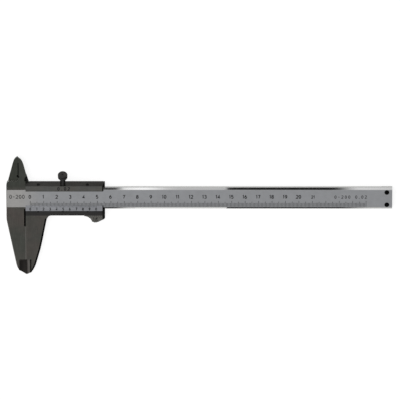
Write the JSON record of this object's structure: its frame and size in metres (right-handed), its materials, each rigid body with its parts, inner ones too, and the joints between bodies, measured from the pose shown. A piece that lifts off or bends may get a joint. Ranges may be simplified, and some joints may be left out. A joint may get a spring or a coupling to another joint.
{
  "type": "vernier caliper",
  "caption": "Sliding steel caliper with outside jaws, inside jaws, depth rod, vernier plate, serrated thumb rest and knurled lock screw.",
  "frame": {"origin": "centre of the footprint of the closed caliper on the plane that it rests on", "axes": "+X along the beam from the head to its free end, +Y from the outside jaws towards the inside jaws, +Z out of the graduated face"},
  "size_m": [0.2872, 0.0918, 0.0161],
  "materials": {
    "beam_steel": "satin chrome face, ground jaws",
    "slider_steel": "ground",
    "plate_steel": "satin chrome",
    "cover_steel": "ground",
    "rod_steel": "ground",
    "screw_steel": "oiled",
    "black_steel": "black oxide",
    "knob_steel": "knurled",
    "gib_bronze": "drawn bronze strip",
    "pad_brass": "turned"
  },
  "bodies": {
    "beam": {"main_beam": "beam_steel", "end_stop_plate": "plate_steel", "end_stop_screw_upper": "black_steel", "end_stop_screw_lower": "black_steel"},
    "slider": {"slider_body": "slider_steel", "vernier_plate": "plate_steel", "vernier_pin_1": "black_steel", "vernier_pin_2": "black_steel", "vernier_pin_3": "black_steel", "gib_strip": "gib_bronze", "gib_screw_left": "screw_steel", "gib_screw_right": "screw_steel", "back_cover": "cover_steel", "back_cover_screw_1": "screw_steel", "back_cover_screw_2": "screw_steel", "back_cover_screw_3": "screw_steel", "back_cover_screw_4": "screw_steel", "depth_rod": "rod_steel", "depth_rod_rivet_1": "screw_steel", "depth_rod_rivet_2": "screw_steel"},
    "lock_pad": {"lock_pad": "pad_brass"},
    "lock_screw": {"lock_screw": "knob_steel"}
  },
  "joints": [
    {"name": "slider_slide", "type": "slide", "parent": "beam", "child": "slider", "axis": [1, 0, 0], "range_m": [0, 0.2058]},
    {"name": "lock_feed", "type": "slide", "parent": "slider", "child": "lock_pad", "axis": [0, 0.8192, 0.5736], "range_m": [0, 0.0005]},
    {"name": "lock_turn", "type": "hinge", "parent": "lock_pad", "child": "lock_screw", "pos_m": [-0.1015, 0.02485, 0.00631], "axis": [0, 0.8192, 0.5736], "range_deg": [0, 360]}
  ],
  "couplings": [
    {"joint": "lock_turn", "follows": "lock_feed", "rad_per_m": 12566}
  ]
}
